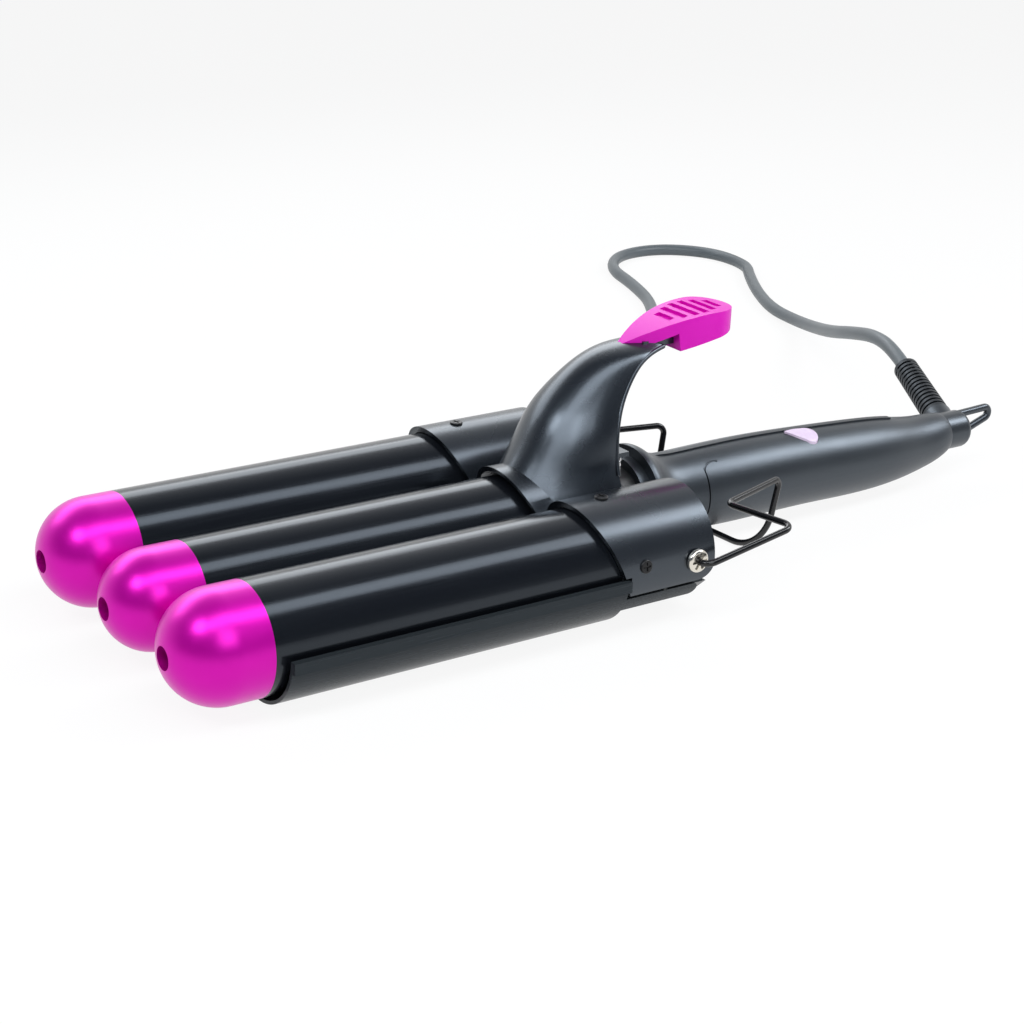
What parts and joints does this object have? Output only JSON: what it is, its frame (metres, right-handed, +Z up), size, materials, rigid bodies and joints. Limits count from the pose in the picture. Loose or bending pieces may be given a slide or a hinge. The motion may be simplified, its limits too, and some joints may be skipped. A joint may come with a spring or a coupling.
{
  "type": "hair waver",
  "caption": "Corded hair waver with parallel heated barrels, a sprung jaw worked by a thumb lever, a folding wire stand, a power button and a swivelling cord exit.",
  "frame": {"origin": "bottom centre of the waver without its cord, on the table that it lies on", "axes": "+X along the barrels from the tips to the handle, +Y across to the side on which the cord lies, +Z up towards the thumb tab"},
  "size_m": [0.4397, 0.3495, 0.0759],
  "materials": {
    "barrel_coat": "gloss ceramic coat on aluminium",
    "cap_magenta": "satin anodised",
    "cover_black": "gloss, heat-resistant",
    "tab_magenta": "satin",
    "grip_black": "soft-touch matte",
    "strip_black": "satin",
    "button_pink": "satin",
    "tray_black": "gloss paint on sheet steel",
    "wire_black": "gloss paint",
    "rivet_nickel": "bright nickel",
    "spring_steel": "bright",
    "screw_black": "black oxide",
    "core_aluminium": "as cast",
    "insulator": "heat-resistant moulding",
    "board_green": "solder mask",
    "switch_black": "matte",
    "elbow_black": "satin",
    "relief_grey": "ribbed rubber",
    "cord_grey": "satin sheath",
    "tie_black": "soft strap",
    "plug_black": "moulded",
    "pin_brass": "bright"
  },
  "bodies": {
    "base": {"middle_barrel": "barrel_coat", "middle_cap": "cap_magenta", "middle_heater_core": "core_aluminium", "middle_cap_screw": "screw_black", "lower_tray": "tray_black", "hinge_yoke": "tray_black", "hinge_rivets": "rivet_nickel", "hinge_washers": "insulator", "neck_mount": "insulator", "left_spring": "spring_steel", "right_spring": "spring_steel", "handle_collar": "grip_black", "handle_upper_shell": "grip_black", "handle_lower_shell": "grip_black", "handle_screws": "screw_black", "top_strip": "strip_black", "circuit_board": "board_green", "tact_switch": "switch_black", "cord_lead": "cord_grey", "cord_hank": "cord_grey", "cord_tie": "tie_black", "plug_body": "plug_black", "plug_pins": "pin_brass"},
    "jaw": {"jaw_cover": "cover_black", "thumb_tab": "tab_magenta", "left_barrel": "barrel_coat", "right_barrel": "barrel_coat", "left_cap": "cap_magenta", "right_cap": "cap_magenta", "left_heater_core": "core_aluminium", "right_heater_core": "core_aluminium", "left_barrel_plug": "insulator", "right_barrel_plug": "insulator", "outer_cap_screws": "screw_black", "cover_screws": "screw_black"},
    "stand": {"wire_stand": "wire_black"},
    "swivel": {"swivel_elbow": "elbow_black", "strain_relief": "relief_grey"},
    "button": {"power_button": "button_pink"}
  },
  "joints": [
    {"name": "jaw_hinge", "type": "hinge", "parent": "base", "child": "jaw", "pos_m": [-0.00875, 0, 0.0193], "axis": [0, 1, 0], "range_deg": [0, 14], "stiffness_Nm_per_rad": 1, "springref_deg": -20.05, "deforming": ["left_spring", "right_spring"]},
    {"name": "stand_hinge", "type": "hinge", "parent": "base", "child": "stand", "pos_m": [-0.00875, 0, 0.0193], "axis": [0, 1, 0], "range_deg": [0, 90]},
    {"name": "cord_swivel", "type": "hinge", "parent": "base", "child": "swivel", "pos_m": [0.14435, 0, 0.0159], "axis": [1, 0, 0], "continuous": true, "deforming": ["cord_lead"]},
    {"name": "power_press", "type": "slide", "parent": "base", "child": "button", "axis": [0, 0, -1], "range_m": [0, 0.0008], "stiffness_N_per_m": 600, "springref_m": -0.001}
  ]
}
